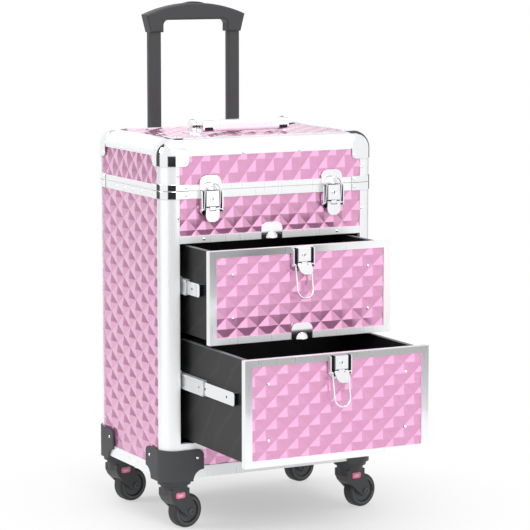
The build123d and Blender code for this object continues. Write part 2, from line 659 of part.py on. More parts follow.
def drawer_box(drawer):
    """Two sides, a back, an inner front and a floor, lined in black."""
    z0, z1 = box_heights(drawer)
    y0 = drawer.box_y0
    y1 = y0 + BOX_DEPTH
    side = block(BOX_HALF - BOX_WALL, BOX_HALF, y0, y1, z0, z1)
    inner = BOX_HALF - BOX_WALL
    front = block(-inner, inner, y0, y0 + BOX_WALL, z0, z1)
    back = block(-inner, inner, y1 - BOX_WALL, y1, z0, z1)
    floor = block(-inner, inner, y0 + BOX_WALL, y1 - BOX_WALL, z0, z0 + BOX_FLOOR)
    return [side, mirror_x(side), front, back, floor]


def channel(x_web, toward, height, depth, y0, y1, z_mid):
    """A C-section member standing on its web, its flanges pointing along X."""
    web = block(x_web, x_web + toward * SLIDE_SHEET, y0, y1, z_mid - height / 2, z_mid + height / 2)
    for side in (-1, 1):
        z_out = z_mid + side * height / 2
        z_in = z_out - side * SLIDE_SHEET
        web = web + block(x_web, x_web + toward * depth, y0, y1, z_in, z_out)
    return web


BATTEN_X = FRONT_HALF
MIDDLE_H = SLIDE_H - 2 * SLIDE_SHEET - 2 * SLIDE_FIT
INNER_H = MIDDLE_H - 2 * SLIDE_SHEET - 2 * SLIDE_FIT


def slide_batten(drawer):
    half = SLIDE_H / 2 + 2.0
    y0 = -HALF_D + CASE_MEMBER_SETBACK
    y1 = HALF_D - BATTEN_BACK_GAP
    return block(BATTEN_X, INSIDE_X, y0, y1, drawer.slide_z - half, drawer.slide_z + half)


def slide_case_member(drawer):
    y0 = -HALF_D + CASE_MEMBER_SETBACK
    return channel(BATTEN_X, -1, SLIDE_H, CASE_MEMBER_DEPTH, y0, y0 + CASE_MEMBER_L, drawer.slide_z)


def slide_middle_member(drawer):
    """Carrier between the two members: its back shows a bead along each edge."""
    y0 = -HALF_D + MIDDLE_SETBACK - drawer.out / 2
    y1 = y0 + MIDDLE_MEMBER_L
    x_web = BATTEN_X - SLIDE_SHEET - CARRIER_GAP
    member = channel(x_web, -1, MIDDLE_H, CARRIER_DEPTH, y0, y1, drawer.slide_z)
    for side in (-1, 1):
        z_out = drawer.slide_z + side * MIDDLE_H / 2
        member = member + block(x_web, x_web + 0.9, y0, y1, z_out - side * 3.6, z_out)
    return member - rod(2.0, (x_web - 2, y0 + 14, drawer.slide_z), (x_web + 2, y0 + 14, drawer.slide_z))


def slide_drawer_member(drawer):
    """Member on the box's side, its back outward, with clipped front corners and screw holes."""
    y0 = drawer.face_y + MEMBER_SETBACK
    y1 = y0 + DRAWER_MEMBER_L
    x_web = BOX_HALF + DRAWER_MEMBER_DEPTH
    half = INNER_H / 2
    member = channel(x_web, -1, INNER_H, DRAWER_MEMBER_DEPTH, y0, y1, drawer.slide_z)
    outline = block(BOX_HALF, x_web, y0, y1, drawer.slide_z - half, drawer.slide_z + half)
    corners = outline.edges().filter_by(Axis.X).group_by(Axis.Y)[0]
    member = member & chamfer(corners, MEMBER_CLIP)
    for along in (MEMBER_HOLE_IN, DRAWER_MEMBER_L / 2, DRAWER_MEMBER_L - MEMBER_HOLE_IN):
        y, z = y0 + along, drawer.slide_z
        member = member - rod(MEMBER_HOLE_R, (BOX_HALF + SLIDE_SHEET, y, z), (x_web + 1, y, z))
    return member


def drawer_fittings(drawer, latch, has_catch):
    """Latch housing, screws and the drawer's own slide members."""
    pieces = [latch_housing(latch)]
    board_y = drawer.face_y + RECESS
    head_y = board_y - SCREW_PROUD
    for z in (drawer.z1 - SCREW_DROP, drawer.z0 + SCREW_RISE):
        for x in (-SCREW_X, SCREW_X):
            shank = rod(SCREW_R, (x, board_y, z), (x, head_y, z))
            pieces.append(shank + rivet_at((x, head_y, z), (0, -1, 0)))
    pieces.extend(both_sides(slide_drawer_member(drawer)))
    if has_catch:
        pieces.append(shell_catch(drawer.face_y, drawer.z0 - 0.9))
    return pieces


# ---------------------------------------------------------------- carry handle
HANDLE_Z = LID_Z1 + HANDLE_PIVOT_RISE
HANDLE_BAR_Y = HANDLE_PIVOT_Y - HANDLE_REACH


def make_carry_brackets():
    """Two ears on the lid, each with the pin that carries the handle's arm."""
    x0 = HANDLE_PIVOT_X - HANDLE_BRACKET_T / 2
    x1 = HANDLE_PIVOT_X + HANDLE_BRACKET_T / 2
    y, z = HANDLE_PIVOT_Y, HANDLE_Z
    ear = block(x0, x1, y - HANDLE_EAR_R, y + HANDLE_EAR_R, LID_Z1 - RECESS, z)
    ear = ear + rod(HANDLE_EAR_R, (x0, y, z), (x1, y, z))
    half = HANDLE_FOOT_HALF
    foot = block(x0, x1 + HANDLE_BRACKET_T, y - half, y + half, LID_Z1 - RECESS, LID_Z1 + 0.6)
    foot = fillet(foot.edges().filter_by(Axis.Z), 2.5)
    pin = rod(HANDLE_PIN_R, (x0 - 0.5 - HANDLE_ARM_T, y, z), (x1, y, z))
    return both_sides(ear + foot + pin)


def make_carry_grip():
    z0 = HANDLE_Z - HANDLE_BAR_H / 2
    half_d = HANDLE_BAR_DEPTH / 2
    bar = block(-HANDLE_BAR_HALF, HANDLE_BAR_HALF, HANDLE_BAR_Y - half_d, HANDLE_BAR_Y + half_d,
                z0, z0 + HANDLE_BAR_H)
    return fillet(bar.edges().filter_by(Axis.X), HANDLE_EDGE_R)


def make_carry_arms():
    """End pieces from the bar's ends back to the pivots."""
    x1 = HANDLE_PIVOT_X - HANDLE_BRACKET_T / 2 - 0.5
    x0 = x1 - HANDLE_ARM_T
    y, z = HANDLE_PIVOT_Y, HANDLE_Z
    front = HANDLE_BAR_Y - HANDLE_BAR_DEPTH / 2
    half_h = HANDLE_BAR_H / 2
    arm = block(HANDLE_BAR_HALF, x1, front, HANDLE_BAR_Y + HANDLE_BAR_DEPTH / 2, z - half_h, z + half_h)
    arm = fillet(arm.edges().filter_by(Axis.X), HANDLE_EDGE_R)
    link = block(x0, x1, HANDLE_BAR_Y, y, z - 5.5, z + 5.5)
    arm = arm + link + rod(6.5, (x0, y, z), (x1, y, z))
    return both_sides(arm - rod(HANDLE_PIN_R + PIN_FIT, (x0 - 1, y, z), (x1 + 1, y, z)))


# ---------------------------------------------------------------- tow handle
def tube_section(width, depth, corner):
    return chamfer(Rectangle(width, depth).vertices(), corner)


def tube(width, depth, corner, wall, z0, z1):
    outline = tube_section(width, depth, corner)
    bore = tube_section(width - 2 * wall, depth - 2 * wall, corner * 0.6)
    return Pos(TUBE_X, TUBE_Y, z0) * extrude(outline - bore, z1 - z0)


def outer_tube_size():
    grow = 2 * (OUTER_TUBE_WALL + TUBE_FIT)
    return TUBE_W + grow, TUBE_D + grow


def make_outer_tubes():
    width, depth = outer_tube_size()
    outline = tube_section(width, depth, TUBE_CHAMFER)
    bore = tube_section(TUBE_W + 2 * TUBE_FIT, TUBE_D + 2 * TUBE_FIT, TUBE_CHAMFER)
    z0 = CASE_Z0 + OUTER_TUBE_LIFT
    body = extrude(outline - bore, OUTER_TUBE_Z1 - z0)
    return both_sides(Pos(TUBE_X, TUBE_Y, z0) * body)


def make_trolley_brackets():
    """A clamp at each end of each outer tube, standing off the back board."""
    width, depth = outer_tube_size()
    brackets = []
    outline = tube_section(width, depth, TUBE_CHAMFER)
    half = width / 2 + CLAMP_WALL
    for z0 in (CASE_Z0 + BASE_RAIL_H + 2.0, OUTER_TUBE_Z1 - CLAMP_H - 2.0):
        z1 = z0 + CLAMP_H
        clamp = block(TUBE_X - half, TUBE_X + half, BOARD_Y, TUBE_Y + depth / 2 + CLAMP_BACK, z0, z1)
        back = clamp.edges().filter_by(Axis.Z).group_by(Axis.Y)[-1]
        clamp = fillet(back, 5.0)
        hollow = Pos(TUBE_X, TUBE_Y, z0) * extrude(outline, CLAMP_H)
        brackets.extend(both_sides(clamp - hollow))
    return brackets


def make_inner_tubes():
    z1 = GRIP_Z0 + GRIP_ARCH_Z * 0.8
    return both_sides(tube(TUBE_W, TUBE_D, TUBE_CHAMFER, TUBE_WALL, INNER_TUBE_Z0, z1))


def grip_outline():
    """Front view of the grip: two legs and an arched bar."""
    leg_out = TUBE_X + TUBE_W / 2
    inner = TUBE_X - TUBE_W / 2 - GRIP_INNER_GAP
    shoulder = (GRIP_TOP_HALF, GRIP_SHOULDER)
    line = Polyline((-inner, 0), (-leg_out, 0), (-GRIP_TOP_HALF, GRIP_SHOULDER))
    arch = ThreePointArc((-GRIP_TOP_HALF, GRIP_SHOULDER), (0, GRIP_H - 2.0), shoulder)
    right = Polyline(shoulder, (leg_out, 0), (inner, 0), (inner, GRIP_ARCH_Z - 8))
    r = 8.0
    bend_r = RadiusArc((inner, GRIP_ARCH_Z - r), (inner - r, GRIP_ARCH_Z), -r)
    under = Line((inner - r, GRIP_ARCH_Z), (-inner + r, GRIP_ARCH_Z))
    bend_l = RadiusArc((-inner + r, GRIP_ARCH_Z), (-inner, GRIP_ARCH_Z - r), -r)
    close = Line((-inner, GRIP_ARCH_Z - r), (-inner, 0))
    return make_face(line + arch + right + bend_r + under + bend_l + close)


def make_tow_grip():
    plane = Plane(origin=(0, TUBE_Y + GRIP_DEPTH / 2, GRIP_Z0), x_dir=(1, 0, 0), z_dir=(0, -1, 0))
    grip = extrude(plane * grip_outline(), GRIP_DEPTH, dir=(0, -1, 0))
    grip = fillet(grip.faces().filter_by(Axis.Y).edges(), 3.0)
    top = GRIP_Z0 + GRIP_H
    pocket_half = BUTTON_HALF + 0.4
    pocket = block(-pocket_half, pocket_half, TUBE_Y - 6.4, TUBE_Y + 6.4, top - 14.0, top + 5)
    grip = grip - pocket
    for side in (-1, 1):
        socket = extrude(tube_section(TUBE_W, TUBE_D, TUBE_CHAMFER), GRIP_ARCH_Z * 0.8)
        grip = grip - Pos(side * TUBE_X, TUBE_Y, GRIP_Z0) * socket
    return grip


def make_tow_button():
    """Push button in the top of the grip, its head arched like the grip."""
    top = GRIP_Z0 + GRIP_H
    plane = Plane(origin=(0, TUBE_Y + 6.0, top), x_dir=(1, 0, 0), z_dir=(0, -1, 0))
    sides = Polyline((-BUTTON_HALF, -4.0), (-BUTTON_HALF, -9.0), (BUTTON_HALF, -9.0), (BUTTON_HALF, -4.0))
    arch = ThreePointArc((BUTTON_HALF, -4.0), (0, 0), (-BUTTON_HALF, -4.0))
    return extrude(plane * make_face(sides + arch), 12.0, dir=(0, -1, 0))


# ---------------------------------------------------------------- casters
class Caster:
    """One caster: its corner and its own frame, +x the way it trails, +y along the axle."""

    def __init__(self, name, sx, sy):
        self.name = name
        self.x = sx * (HALF_W - CASTER_INSET)
        self.y = sy * (HALF_D - CASTER_INSET)
        self.place = Pos(self.x, self.y, 0) * Rot(0, 0, CASTER_YAW)


CASTERS = [Caster("front_left", -1, -1), Caster("front_right", 1, -1),
           Caster("back_left", -1, 1), Caster("back_right", 1, 1)]


def make_caster_bracket():
    """Moulded corner boot for the back right corner, with the swivel's collar under it."""
    z1 = CASE_Z0 + BRACKET_TOP
    grow = 2 * BRACKET_T
    outer = rounded_prism(CASE_W + grow, CASE_D + grow, EDGE_R + BRACKET_T, CASE_Z0 - BRACKET_PLATE, z1)
    fit = PLATE_FIT
    inner = rounded_prism(CASE_W + 2 * fit, CASE_D + 2 * fit, EDGE_R + fit, CASE_Z0, z1)
    reach = block(HALF_W - BRACKET_FRONT, HALF_W + 10, HALF_D - BRACKET_SIDE, HALF_D + 10,
                  CASE_Z0 - BRACKET_PLATE, z1)
    boot = (outer - inner) & reach
    round_r = 9.0
    scoop_r = 17.0
    scoop_z = CASE_Z0 - BRACKET_PLATE
    x_end = HALF_W - BRACKET_FRONT
    y_end = HALF_D - BRACKET_SIDE
    far_x, far_y = HALF_W + 20, HALF_D + 20
    zc = z1 - round_r
    xc, yc = x_end + round_r, y_end + round_r
    boot = boot - (block(x_end, xc, 0, far_y, zc, z1) - rod(round_r, (xc, 0, zc), (xc, far_y, zc)))
    boot = boot - (block(0, far_x, y_end, yc, zc, z1) - rod(round_r, (0, yc, zc), (far_x, yc, zc)))
    boot = boot - rod(scoop_r, (x_end, 0, scoop_z), (x_end, far_y, scoop_z))
    boot = boot - rod(scoop_r, (0, y_end, scoop_z), (far_x, y_end, scoop_z))
    cx, cy = HALF_W - CASTER_INSET, HALF_D - CASTER_INSET
    step_z = NECK_Z + SWIVEL_GAP
    collar = rod(COLLAR_R, (cx, cy, COLLAR_STEP_Z), (cx, cy, CASE_Z0))
    collar = collar + rod(COLLAR_STEP_R, (cx, cy, step_z), (cx, cy, COLLAR_STEP_Z))
    bore_r = STEM_R + PIN_FIT
    bore = rod(bore_r, (cx, cy, step_z), (cx, cy, NECK_Z + STEM_L + 0.6))
    return boot + collar - bore


def fork_outline():
    """Side view of the fork: neck above, leaning back to a round boss at the axle."""
    boss = 9.0
    return make_face(
        Polyline((-NECK_R + 1.5, NECK_Z), (-NECK_R + 1.5, NECK_Z - 10), (-12.0, 42.0), (0.0, 30.0))
        + Line((0.0, 30.0), (TRAIL - boss * 0.8, AXLE_Z - boss * 0.6))
        + ThreePointArc((TRAIL - boss * 0.8, AXLE_Z - boss * 0.6), (TRAIL + boss * 0.6, AXLE_Z - boss * 0.8),
                        (TRAIL + boss, AXLE_Z))
        + Polyline((TRAIL + boss, AXLE_Z), (TRAIL + 6.0, AXLE_Z + 12.0), (NECK_R - 1.5, NECK_Z - 9),
                   (NECK_R - 1.5, NECK_Z), (-NECK_R + 1.5, NECK_Z))
    )


def make_fork(caster):
    plane = Plane(origin=(0, CHEEK_HALF, 0), x_dir=(1, 0, 0), z_dir=(0, -1, 0))
    body = extrude(plane * fork_outline(), 2 * CHEEK_HALF, dir=(0, -1, 0))
    neck = rod(NECK_R, (0, 0, NECK_Z - 7), (0, 0, NECK_Z))
    slot_r = WHEEL_D / 2 + 2.2
    slot = rod(slot_r, (TRAIL, -SLOT_HALF, AXLE_Z), (TRAIL, SLOT_HALF, AXLE_Z))
    pocket_z = NECK_Z - 9.0
    half_w = RELEASE_W / 2 + RELEASE_FIT
    half_h = RELEASE_H / 2 + RELEASE_FIT
    depth = RELEASE_T - RELEASE_PROUD + RELEASE_TRAVEL + 0.3
    pocket = block(-half_w, half_w, -NECK_R - 1, -CHEEK_HALF + depth, pocket_z - half_h, pocket_z + half_h)
    axle = rod(AXLE_R, (TRAIL, -SLOT_HALF, AXLE_Z), (TRAIL, SLOT_HALF, AXLE_Z))
    stem = rod(STEM_R, (0, 0, NECK_Z), (0, 0, NECK_Z + STEM_L))
    return caster.place * (body + neck + stem - slot - pocket + axle)


def make_wheel(caster):
    """Tyre and hub in one: round-shouldered tread, dished sides and a bore for the axle."""
    half = WHEEL_W / 2
    r = WHEEL_D / 2
    bore = AXLE_R + PIN_FIT
    side = [(bore, half - 1), (7.0, half - 1), (8.5, half - 2.5), (r - 9, half - 2.5), (r - 7.5, half)]
    low = [(x, -y) for x, y in side]
    outline = Polyline(*low, (r, -half), (r, half), *reversed(side), close=True)
    face = make_face(outline)
    tread = face.vertices().group_by(Axis.X)[-1]
    wheel = revolve(fillet(tread, TREAD_ROUND), axis=Axis.Y)
    return caster.place * Pos(TRAIL, 0, AXLE_Z) * wheel


def make_release(caster):
    """Release button in the neck, on the side away from the case's back."""
    z = NECK_Z - 9.0
    y0 = -CHEEK_HALF - RELEASE_PROUD
    button = block(-RELEASE_W / 2, RELEASE_W / 2, y0, y0 + RELEASE_T, z - RELEASE_H / 2, z + RELEASE_H / 2)
    button = fillet(button.edges().filter_by(Axis.Y), 3.0)
    return caster.place * button


# ---------------------------------------------------------------- write every piece
def lid_latch(x):
    return Latch(x, -HALF_D, CASE_Z1 - LID_LATCH_TOP_GAP, LID_LATCH_BODY_H, LID_LOOP_L, True, 0.0)


def drawer_latch(drawer):
    return Latch(0, drawer.face_y, drawer.z1 - LATCH_TOP_GAP, DRAWER_LATCH_BODY_H, DRAWER_LOOP_L,
                 False, DRAWER_LEVER_OUT)


LID_LATCHES = {
    "left_lid_latch": lid_latch(-LATCH_X),
    "right_lid_latch": lid_latch(LATCH_X),
}
TOP_LATCH = drawer_latch(TOP)
BOTTOM_LATCH = drawer_latch(BOTTOM)

os.makedirs("parts", exist_ok=True)

save("side_panels", make_side_panels())
save("back_panel", make_back_panel())
save("base_panel", inner_board(CASE_Z0 + RAIL_LIP))
save("front_panels", make_front_panels())
save("tray_floor", inner_board(TOP_RAIL_Z0 + 2.5))
save("corner_posts", make_corner_posts())
save("case_rails", make_case_rails())
save("case_corner_braces", make_case_corner_braces())
save("case_rivets", make_case_rivets())
save("hinge_case_leaves", [hinge_leaf(-HINGE_X, False), hinge_leaf(HINGE_X, False)])
save("slide_battens", both_sides(slide_batten(TOP)) + both_sides(slide_batten(BOTTOM)))
save("slide_case_members", both_sides(slide_case_member(TOP)) + both_sides(slide_case_member(BOTTOM)))
save("case_latch_parts", [latch_housing(item) for item in LID_LATCHES.values()]
     + [shell_catch(-HALF_D, TOP_RAIL_Z0 + 0.5)])
save("trolley_outer_tubes", make_outer_tubes())
save("trolley_brackets", make_trolley_brackets())
save("caster_brackets", four_corners(make_caster_bracket()))

save("lid_top_panel", make_lid_top_panel())
save("lid_wall_panels", make_lid_wall_panels())
save("lid_rails", make_lid_rails())
save("lid_corner_posts", make_lid_corner_posts())
save("lid_corner_plates", make_lid_corner_plates())
save("lid_rivets", make_lid_rivets())
save("hinge_lid_leaves", [hinge_leaf(-HINGE_X, True), hinge_leaf(HINGE_X, True)])
save("lid_catches", [lid_catch(-LATCH_X), lid_catch(LATCH_X)])
save("carry_handle_brackets", make_carry_brackets())
save("carry_grip", make_carry_grip())
save("carry_arms", make_carry_arms())
for name, latch in LID_LATCHES.items():
    save(f"{name}_lever", latch_lever(latch))
    save(f"{name}_loop", latch_loop(latch))

for drawer, latch in ((TOP, TOP_LATCH), (BOTTOM, BOTTOM_LATCH)):
    save(f"{drawer.name}_front_panel", drawer_panel(drawer))
    save(f"{drawer.name}_front_frame", drawer_frame(drawer))
    save(f"{drawer.name}_box", drawer_box(drawer))
    save(f"{drawer.name}_fittings", drawer_fittings(drawer, latch, drawer is TOP))
    save(f"{drawer.name}_latch_lever", latch_lever(latch))
    save(f"{drawer.name}_latch_loop", latch_loop(latch))
    save(f"{drawer.name}_slide_carriers", both_sides(slide_middle_member(drawer)))

save("tow_tubes", make_inner_tubes())
save("tow_grip", make_tow_grip())
save("tow_button", make_tow_button())

for caster in CASTERS:
    save(f"{caster.name}_fork", make_fork(caster))
    save(f"{caster.name}_wheel", make_wheel(caster))
    save(f"{caster.name}_release", make_release(caster))
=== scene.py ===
# %% [markdown]
# # Makeup train case
# A rolling case for cosmetics. Boards with an embossed pink skin sit in an aluminium frame, chrome
# latches and corner plates hold it together, and it stands on four swivel casters. The working
# parts come from the CAD frame, and this lesson gives them their looks: the pressed diamond
# pattern, softened metal edges, moulded plastic, and the small pieces that catch the eye.

# %% Load the frame
import json
from math import ceil, cos, radians, sin
import bpy
from mathutils import Matrix, Vector

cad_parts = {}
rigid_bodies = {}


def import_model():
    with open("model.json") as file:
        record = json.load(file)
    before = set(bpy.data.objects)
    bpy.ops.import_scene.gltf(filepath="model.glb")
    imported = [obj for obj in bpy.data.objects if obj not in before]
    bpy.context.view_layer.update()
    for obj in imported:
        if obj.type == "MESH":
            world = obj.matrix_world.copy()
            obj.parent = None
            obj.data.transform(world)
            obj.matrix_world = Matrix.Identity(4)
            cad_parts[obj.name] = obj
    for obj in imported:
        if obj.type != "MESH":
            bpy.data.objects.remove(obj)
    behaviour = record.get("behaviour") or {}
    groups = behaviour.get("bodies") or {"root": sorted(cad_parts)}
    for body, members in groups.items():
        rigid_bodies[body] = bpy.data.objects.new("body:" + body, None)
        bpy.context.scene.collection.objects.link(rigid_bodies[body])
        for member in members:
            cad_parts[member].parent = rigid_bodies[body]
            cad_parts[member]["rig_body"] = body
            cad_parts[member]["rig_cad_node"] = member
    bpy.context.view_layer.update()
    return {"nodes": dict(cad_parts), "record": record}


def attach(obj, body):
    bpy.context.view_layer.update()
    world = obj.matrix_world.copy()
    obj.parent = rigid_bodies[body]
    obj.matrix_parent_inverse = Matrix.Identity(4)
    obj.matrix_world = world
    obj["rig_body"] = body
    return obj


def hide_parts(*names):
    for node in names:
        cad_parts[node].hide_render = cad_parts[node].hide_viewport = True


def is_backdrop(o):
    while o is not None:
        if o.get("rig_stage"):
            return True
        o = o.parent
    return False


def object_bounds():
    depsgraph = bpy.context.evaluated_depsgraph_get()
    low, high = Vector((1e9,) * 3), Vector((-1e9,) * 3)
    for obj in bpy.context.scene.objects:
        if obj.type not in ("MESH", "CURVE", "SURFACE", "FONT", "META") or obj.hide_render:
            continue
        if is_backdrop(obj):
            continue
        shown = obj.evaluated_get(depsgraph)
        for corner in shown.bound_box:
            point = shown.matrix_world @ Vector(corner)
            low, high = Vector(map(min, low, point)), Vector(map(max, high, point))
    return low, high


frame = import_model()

MM = 0.001
NODES = frame["nodes"]
BODY_OF = {node: body for body, nodes in frame["record"]["behaviour"]["bodies"].items() for node in nodes}

# %% [markdown]
# ## Studio
# A glossy case shows its surroundings, so the studio matters as much as the lamps. A product studio
# has white walls with a gap for the camera, and that gap draws the dark stripe on every chrome
# corner. The walls could be planes, but planes stand in the way of other views. A sky painted in
# the world nodes gives the same stripe and stays out of the camera's own view, which keeps the
# backdrop plain.

# %% Colours and nodes
def linear(code):
    """An sRGB hex colour as the linear red, green, blue and alpha that nodes expect."""
    parts = [int(code[i:i + 2], 16) / 255 for i in (1, 3, 5)]
    return [c / 12.92 if c <= 0.04045 else ((c + 0.055) / 1.055) ** 2.4 for c in parts] + [1.0]


def add_node(tree, kind, links=None, **settings):
    """Adds a node, sets its properties and input values, and links its inputs."""
    node = tree.nodes.new(kind)
    for name, value in settings.items():
        if hasattr(node, name):
            setattr(node, name, value)
        else:
            node.inputs[name.replace("_", " ")].default_value = value
    for socket, source in (links or {}).items():
        tree.links.new(source, node.inputs[socket])
    return node


# %% Sky with white walls and dark gaps
# Each patch of wall: its left, right, low and high edge in degrees, and its brightness.
WALL_GAPS = [(-52, -2, -60, -2, 0.03), (-146, -116, -12, 50, 0.10), (116, 146, -12, 50, 0.12)]
WALL_SOFTNESS = 5
SOFTBOX = (2, 24, -4, 40, 1.9)
WALL_LEVEL = 1.05
DIFFUSE_SHARE = 0.45        # matt surfaces get less of the sky than reflections do

world = bpy.data.worlds.new("white_studio")
bpy.context.scene.world = world
world.use_nodes = True
sky = world.node_tree
sky.nodes.clear()
where = add_node(sky, "ShaderNodeTexCoord")
split = add_node(sky, "ShaderNodeSeparateXYZ", {"Vector": where.outputs["Generated"]})
away = add_node(sky, "ShaderNodeMath", {0: split.outputs["Y"]}, operation="MULTIPLY")
away.inputs[1].default_value = -1.0
around = add_node(sky, "ShaderNodeMath", {0: split.outputs["X"], 1: away.outputs[0]}, operation="ARCTAN2")
height = add_node(sky, "ShaderNodeMath", {0: split.outputs["Z"]}, operation="ARCSINE")


def between(value, low, high, soft):
    """1 between two angles in degrees, falling to 0 over the softness."""
    rise = add_node(sky, "ShaderNodeMapRange", {"Value": value}, interpolation_type="SMOOTHSTEP")
    fall = add_node(sky, "ShaderNodeMapRange", {"Value": value}, interpolation_type="SMOOTHSTEP")
    for node, start, end in ((rise, low - soft, low), (fall, high + soft, high)):
        node.inputs["From Min"].default_value = radians(start)
        node.inputs["From Max"].default_value = radians(end)
    return add_node(sky, "ShaderNodeMath", {0: rise.outputs[0], 1: fall.outputs[0]},
                    operation="MULTIPLY").outputs[0]


brightness = None
for left, right, low, high, level in WALL_GAPS + [SOFTBOX]:
    patch = add_node(sky, "ShaderNodeMath",
                     {0: between(around.outputs[0], left, right, WALL_SOFTNESS),
                      1: between(height.outputs[0], low, high, WALL_SOFTNESS)}, operation="MULTIPLY")
    mixed = add_node(sky, "ShaderNodeMix", {"Factor": patch.outputs[0]}, data_type="FLOAT")
    mixed.inputs["B"].default_value = level
    if brightness is None:
        mixed.inputs["A"].default_value = WALL_LEVEL
    else:
        sky.links.new(brightness, mixed.inputs["A"])
    brightness = mixed.outputs["Result"]
seen = add_node(sky, "ShaderNodeLightPath")
dimmed = add_node(sky, "ShaderNodeMath", {0: brightness}, operation="MULTIPLY")
dimmed.inputs[1].default_value = DIFFUSE_SHARE
soft_light = add_node(sky, "ShaderNodeMix", {"Factor": seen.outputs["Is Diffuse Ray"], "A": brightness,
                                             "B": dimmed.outputs[0]}, data_type="FLOAT")
backdrop = add_node(sky, "ShaderNodeMix", {"Factor": seen.outputs["Is Camera Ray"],
                                           "A": soft_light.outputs["Result"]}, data_type="FLOAT")
backdrop.inputs["B"].default_value = 1.0
glow = add_node(sky, "ShaderNodeBackground", {"Strength": backdrop.outputs["Result"]})
glow.inputs["Color"].default_value = linear("#FFFFFF")
add_node(sky, "ShaderNodeOutputWorld", {"Surface": glow.outputs[0]})
print("sky gaps", len(WALL_GAPS))

# %% Camera, lamps and floor
CAMERA_PLACE = (-1.62446, -3.24715, 0.8511)
CAMERA_DOWN = 7.6493
CAMERA_TURN = -27.3065
CAMERA_LENS = 167.43
LAMP_TARGET = Vector((0, 0, 0.3))
FLOOR_R = 1.5

camera = bpy.data.objects.new("camera", bpy.data.cameras.new("camera"))
bpy.context.scene.collection.objects.link(camera)
camera.data.sensor_width = 36
camera.data.lens = CAMERA_LENS
camera.location = CAMERA_PLACE
camera.rotation_euler = (radians(90 - CAMERA_DOWN), 0, radians(CAMERA_TURN))
bpy.context.scene.camera = camera
bpy.context.scene.view_settings.view_transform = "Standard"

for name, place, size, power in (("overhead_softbox", (0, -0.2, 2.4), 2.2, 16),
                                 ("front_softbox", (-0.8, -2.8, 2.0), 1.4, 42),
                                 ("side_softbox", (-2.8, 0.9, 1.9), 1.4, 40)):
    lamp = bpy.data.objects.new(name, bpy.data.lights.new(name, "AREA"))
    lamp.data.size = size
    lamp.data.energy = power
    lamp.location = place
    lamp.rotation_euler = (LAMP_TARGET - lamp.location).to_track_quat("-Z", "Y").to_euler()
    bpy.context.scene.collection.objects.link(lamp)


def deselect():
    bpy.ops.object.select_all(action="DESELECT")


def activate(piece):
    deselect()
    piece.select_set(True)
    bpy.context.view_layer.objects.active = piece


deselect()
bpy.ops.mesh.primitive_circle_add(vertices=96, radius=FLOOR_R, fill_type="NGON")
floor = bpy.context.object
floor.name = "studio_floor"
floor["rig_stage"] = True
print("camera, 3 lamps and the floor")

# %% [markdown]
# ## Finishes
# Each finish starts from the real material and how its surface was made. Metals keep the default
# index of refraction and differ in roughness: buffed chrome is a mirror, anodised aluminium spreads
# its reflections, and zinc-plated sheet is the dullest. An image of each surface could be wrapped
# on, but noise on object coordinates has no seams and keeps its size in millimetres. Real grain is
# often too fine to show at this distance. Where a cell says so, it is drawn coarser than life.

# %% A finish and its surface detail
GRAIN_DETAIL = 3
EVEN = (1, 1, 1)


def finish(name, colour, metallic, roughness, **settings):
    """A new material with one Principled shader. Returns the material, its nodes and the shader."""
    material = bpy.data.materials.new(name)
    material.use_nodes = True
    tree = material.node_tree
    shader = tree.nodes["Principled BSDF"]
    shader.inputs["Base Color"].default_value = linear(colour)
    shader.inputs["Metallic"].default_value = metallic
    shader.inputs["Roughness"].default_value = roughness
    for key, value in settings.items():
        shader.inputs[key.replace("_", " ")].default_value = value
    print("finish", name)
    return material, tree, shader


def grain(tree, shader, size_mm, stretch, bump_mm, rough_low=None, rough_high=None):
    """Noise on object coordinates: a bump, and a roughness range where one is given."""
    place = add_node(tree, "ShaderNodeTexCoord")
    mapping = add_node(tree, "ShaderNodeMapping", {"Vector": place.outputs["Object"]})
    mapping.inputs["Scale"].default_value = stretch
    noise = add_node(tree, "ShaderNodeTexNoise", {"Vector": mapping.outputs[0]},
                     Scale=1 / (size_mm * MM), Detail=GRAIN_DETAIL)
    if bump_mm:
        bump = add_node(tree, "ShaderNodeBump", {"Height": noise.outputs["Fac"]},
                        Distance=bump_mm * MM, Strength=1.0)
        tree.links.new(bump.outputs[0], shader.inputs["Normal"])
    if rough_low is not None:
        spread = add_node(tree, "ShaderNodeMapRange", {"Value": noise.outputs["Fac"]},
                          To_Min=rough_low, To_Max=rough_high)
        tree.links.new(spread.outputs[0], shader.inputs["Roughness"])
    return noise


def mixed_colour(tree, factor, first, second):
    """A colour between two hex colours."""
    mix = add_node(tree, "ShaderNodeMix", {"Factor": factor}, data_type="RGBA")
    first_colour, second_colour = [socket for socket in mix.inputs if socket.enabled][1:3]
    first_colour.default_value = linear(first)
    second_colour.default_value = linear(second)
    return [socket for socket in mix.outputs if socket.enabled][0]


# %% Pink embossed skin
# A metallised foil under a clear film, pressed on the board. The foil makes each facet darken or
# flash as it turns, the film lays a sharper gloss over it, and a slow drift of tone keeps the
# boards from looking printed.
pink_skin, tree, shader = finish("pink_metallised_foil", "#DD97C2", 0.55, 0.26,
                                 Coat_Weight=1.0, Coat_Roughness=0.14, Coat_IOR=1.7)
noise = grain(tree, shader, 18, EVEN, 0, 0.20, 0.30)
tone = mixed_colour(tree, noise.outputs["Fac"], "#DA90BE", "#E09EC5")
tree.links.new(tone, shader.inputs["Base Color"])

# %% Anodised aluminium
# Drawn through a die and then anodised: the oxide film scatters most of the light, so it reads as
# a near-white satin with only a little mirror in it. Die lines are finer than a tenth of a
# millimetre, and are drawn at 2.5 mm. They are stretched along Z, so they follow the upright
# posts but run across the level rails.
satin_aluminium, tree, shader = finish("anodised_aluminium", "#F6F7F8", 0.3, 0.28)
grain(tree, shader, 2.5, (1, 1, 0.04), 0, 0.24, 0.34)

